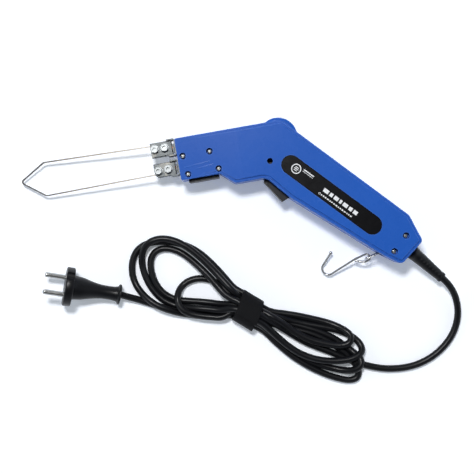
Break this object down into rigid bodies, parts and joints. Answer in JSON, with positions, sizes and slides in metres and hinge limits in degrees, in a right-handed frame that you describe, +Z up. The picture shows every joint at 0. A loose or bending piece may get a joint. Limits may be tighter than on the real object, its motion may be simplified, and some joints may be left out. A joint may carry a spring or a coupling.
{
  "type": "hot wire cutter",
  "caption": "Hand-held mains hot wire cutter with a pointed heating loop in screw clamps, a bent pistol body, trigger, hanging hook and a tied hank of cord.",
  "frame": {"origin": "on the table under the bend where the nose and the handle meet, on the flat face of the lower shell", "axes": "+X runs along the nose from the blade's tip to the handle, +Y is the back of the tool, +Z points up out of the table, across the two half shells"},
  "size_m": [0.3817, 0.2537, 0.04],
  "materials": {
    "blue_plastic": "fine texture, satin",
    "black_plastic": "satin",
    "label_black": "printed film",
    "zinc_steel": "zinc plated",
    "screw_steel": "nickel plated",
    "heating_alloy": "oxidised resistance strip",
    "spring_wire": "bright drawn wire",
    "copper": "bare copper",
    "lamination_steel": "stacked laminations",
    "phenolic": "moulded phenolic",
    "nylon": "natural",
    "cord_rubber": "satin",
    "wire_blue": "smooth",
    "strap_fabric": "hook and loop tape",
    "plug_plastic": "moulded",
    "pin_nickel": "nickel plated brass"
  },
  "bodies": {
    "tool": {"lower_shell": "blue_plastic", "upper_shell": "blue_plastic", "label_plate": "label_black", "nose_screws": "screw_steel", "bend_screw": "screw_steel", "rear_screws": "screw_steel", "upper_terminal_block": "zinc_steel", "lower_terminal_block": "zinc_steel", "upper_clamp_plate": "zinc_steel", "lower_clamp_plate": "zinc_steel", "clamp_washers": "screw_steel", "clamp_screws": "screw_steel", "upper_terminal_bracket": "zinc_steel", "lower_terminal_bracket": "zinc_steel", "heating_blade": "heating_alloy", "nose_insulator": "phenolic", "guide_rail": "black_plastic", "upper_busbar": "copper", "lower_busbar": "copper", "transformer_core": "lamination_steel", "transformer_bobbin": "nylon", "transformer_winding": "copper", "mains_leads": "wire_blue", "cord_jacket": "cord_rubber", "cord_clamp": "nylon", "cord_clamp_screws": "screw_steel", "trigger_pin": "screw_steel", "trigger_spring": "spring_wire", "switch_body": "black_plastic", "hook_pin": "screw_steel", "strain_relief_boot": "cord_rubber", "cord_lead": "cord_rubber", "cord_plug_lead": "cord_rubber", "cord_hank": "cord_rubber", "hank_tie": "strap_fabric", "plug_body": "plug_plastic", "plug_pins": "pin_nickel"},
    "trigger": {"trigger": "black_plastic"},
    "plunger": {"switch_plunger": "nylon"},
    "bail": {"hook_bail": "spring_wire"},
    "hook": {"hanging_hook": "spring_wire"}
  },
  "joints": [
    {"name": "trigger_pivot", "type": "hinge", "parent": "tool", "child": "trigger", "pos_m": [-0.00475, -0.02467, 0.02], "axis": [0, 0, 1], "range_deg": [0, 9], "stiffness_Nm_per_rad": 0.6, "springref_deg": -4.58, "deforming": ["trigger_spring"]},
    {"name": "plunger_slide", "type": "slide", "parent": "tool", "child": "plunger", "axis": [0.7559, 0.6547, 0], "range_m": [0, 0.0021]},
    {"name": "bail_swing", "type": "hinge", "parent": "tool", "child": "bail", "pos_m": [0.0852, -0.1096, 0.0175], "axis": [0, 0, 1], "range_deg": [-4, 60]},
    {"name": "hook_swing", "type": "hinge", "parent": "bail", "child": "hook", "pos_m": [0.0694, -0.1136, 0.0155], "axis": [0, 0, 1], "range_deg": [-22, 25]}
  ],
  "couplings": [
    {"joint": "plunger_slide", "follows": "trigger_pivot", "m_per_rad": 0.0125}
  ]
}
